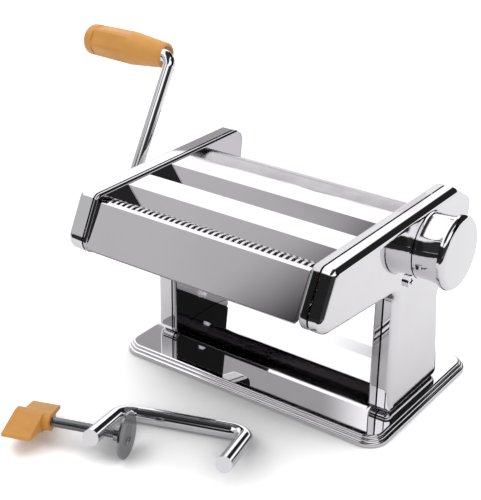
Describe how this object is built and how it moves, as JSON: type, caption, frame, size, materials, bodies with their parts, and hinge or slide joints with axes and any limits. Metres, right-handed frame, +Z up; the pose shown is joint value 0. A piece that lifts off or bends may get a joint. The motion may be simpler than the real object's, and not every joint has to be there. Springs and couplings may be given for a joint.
{
  "type": "pasta roller machine",
  "caption": "Hand-cranked pasta roller machine: chromed body on a base tray, smooth rollers with a gap knob, thin and wide noodle cutters, removable crank and loose table clamp.",
  "frame": {"origin": "middle of the base tray's footprint, at the table", "axes": "+X along the rollers towards the gap knob, +Y towards the feed side, noodles leave on the -Y side, +Z up"},
  "size_m": [0.2877, 0.2561, 0.1981],
  "materials": {
    "chrome_plate": "mirror-polished chrome plate",
    "machined_steel": "turned and nickel-plated steel",
    "bearing_bronze": "sintered bearing bronze, matt",
    "tan_plastic": "tan moulded plastic, satin",
    "black_rubber": "matt black rubber"
  },
  "bodies": {
    "machine": {"base_tray": "chrome_plate", "rubber_feet": "black_rubber", "base_screws": "machined_steel", "base_nuts": "machined_steel", "left_frame_plate": "chrome_plate", "right_frame_plate": "chrome_plate", "left_cover": "chrome_plate", "right_cover": "chrome_plate", "shaft_bushes": "bearing_bronze", "socket_bushes": "bearing_bronze", "clamp_socket": "chrome_plate", "tie_rods": "machined_steel", "pivot_rod": "machined_steel", "tie_rod_screws": "machined_steel", "pivot_sleeves": "machined_steel", "cover_screws": "chrome_plate", "middle_guard": "chrome_plate", "rear_guard": "chrome_plate", "hopper_plate": "chrome_plate", "front_plate": "chrome_plate", "knob_bush": "bearing_bronze", "clamp_bar": "chrome_plate"},
    "drive": {"drive_roller": "chrome_plate", "drive_gear": "machined_steel"},
    "rocker": {"left_rocker": "machined_steel", "right_rocker": "machined_steel"},
    "front": {"front_roller": "chrome_plate", "front_gear": "machined_steel"},
    "adjuster": {"knob_spindle": "machined_steel", "gap_cam": "machined_steel", "knob_spring": "machined_steel"},
    "dial": {"knob": "chrome_plate"},
    "wide_driver": {"wide_cutter_driver": "machined_steel", "wide_driver_gear": "machined_steel"},
    "wide_follower": {"wide_cutter_follower": "machined_steel", "wide_follower_gear": "machined_steel"},
    "thin_driver": {"thin_cutter_driver": "machined_steel", "thin_driver_gear": "machined_steel"},
    "thin_follower": {"thin_cutter_follower": "machined_steel", "thin_follower_gear": "machined_steel"},
    "crank": {"crank_arm": "chrome_plate"},
    "grip": {"crank_grip": "tan_plastic"},
    "clamp_pad": {"clamp_disc": "chrome_plate"},
    "clamp_handle": {"clamp_screw": "machined_steel", "clamp_wing": "tan_plastic"}
  },
  "joints": [
    {"name": "drive_turn", "type": "hinge", "parent": "machine", "child": "drive", "pos_m": [0, 0.03073, 0.09777], "axis": [1, 0, 0], "continuous": true},
    {"name": "gap_adjust", "type": "hinge", "parent": "machine", "child": "adjuster", "pos_m": [0, 0.001, 0.1102], "axis": [1, 0, 0], "range_deg": [0, 270]},
    {"name": "rocker_swing", "type": "hinge", "parent": "machine", "child": "rocker", "pos_m": [0, -0.0224, 0.0959], "axis": [-1, 0, 0], "range_deg": [0, 4.8]},
    {"name": "front_roller_turn", "type": "hinge", "parent": "rocker", "child": "front", "pos_m": [0, 0.003, 0.1151], "axis": [1, 0, 0], "continuous": true},
    {"name": "knob_pull", "type": "slide", "parent": "adjuster", "child": "dial", "axis": [1, 0, 0], "range_m": [0, 0.004], "stiffness_N_per_m": 1500, "deforming": ["knob_spring"]},
    {"name": "wide_cutter_turn", "type": "hinge", "parent": "machine", "child": "wide_driver", "pos_m": [0, -0.042, 0.106], "axis": [1, 0, 0], "continuous": true},
    {"name": "wide_follower_turn", "type": "hinge", "parent": "machine", "child": "wide_follower", "pos_m": [0, -0.05811, 0.1153], "axis": [1, 0, 0], "continuous": true},
    {"name": "thin_cutter_turn", "type": "hinge", "parent": "machine", "child": "thin_driver", "pos_m": [0, -0.08, 0.1104], "axis": [1, 0, 0], "continuous": true},
    {"name": "thin_follower_turn", "type": "hinge", "parent": "machine", "child": "thin_follower", "pos_m": [0, -0.09611, 0.1197], "axis": [1, 0, 0], "continuous": true},
    {"name": "crank_pull", "type": "slide", "parent": "wide_driver", "child": "crank", "axis": [-1, 0, 0], "range_m": [0, 0.018]},
    {"name": "grip_spin", "type": "hinge", "parent": "crank", "child": "grip", "pos_m": [-0.14, 0.00485, 0.18715], "axis": [1, 0, 0], "continuous": true},
    {"name": "pad_advance", "type": "slide", "parent": "machine", "child": "clamp_pad", "axis": [0.9444, 0.3289, 0], "range_m": [-0.004, 0.016]},
    {"name": "screw_turn", "type": "hinge", "parent": "clamp_pad", "child": "clamp_handle", "pos_m": [-0.03374, -0.15649, 0.01404], "axis": [0.9444, 0.3289, 0], "range_deg": [-1440, 5760]}
  ],
  "couplings": [
    {"joint": "front_roller_turn", "follows": "drive_turn", "ratio": -1},
    {"joint": "rocker_swing", "follows": "gap_adjust", "ratio": 0.017778},
    {"joint": "wide_follower_turn", "follows": "wide_cutter_turn", "ratio": -1},
    {"joint": "thin_follower_turn", "follows": "thin_cutter_turn", "ratio": -1},
    {"joint": "screw_turn", "follows": "pad_advance", "rad_per_m": 6283.2}
  ]
}
